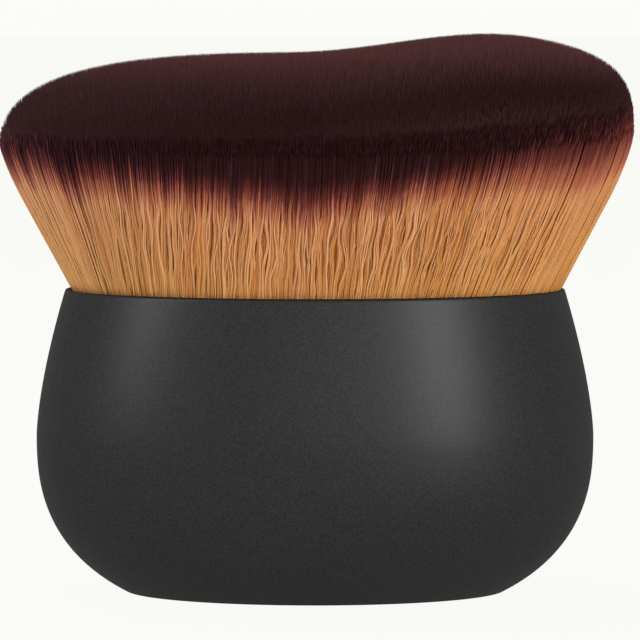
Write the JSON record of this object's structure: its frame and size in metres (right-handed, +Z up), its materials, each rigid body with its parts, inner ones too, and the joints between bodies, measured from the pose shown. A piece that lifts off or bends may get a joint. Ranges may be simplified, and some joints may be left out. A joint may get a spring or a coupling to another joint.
{
  "type": "body makeup brush",
  "caption": "Oval palm-held body brush: a soft-touch handle that stands on its base, with a dense flared bundle of tan filaments whose dyed tips form a waved dome.",
  "frame": {"origin": "middle of the flat underside that the brush stands on", "axes": "+X along the width, towards the higher hump of the bristles; the front faces -Y; +Z up, out of the bristles"},
  "size_m": [0.0799, 0.055, 0.0702],
  "materials": {
    "handle_coat": "matte soft-touch coat, dark grey",
    "cap_plastic": "matte moulded plastic",
    "weight_steel": "zinc plated",
    "ring_aluminium": "plain drawn",
    "epoxy": "cast amber epoxy",
    "filament": "fine synthetic filament, tan with tips dyed plum brown"
  },
  "bodies": {
    "root": {"handle_body": "handle_coat", "base_cap": "cap_plastic", "base_weight": "weight_steel", "hair_ring": "ring_aluminium", "glue_plug": "epoxy", "bristle_bundle_1": "filament", "bristle_bundle_2": "filament", "bristle_bundle_3": "filament", "bristle_bundle_4": "filament", "bristle_bundle_5": "filament", "bristle_bundle_6": "filament"}
  },
  "joints": []
}
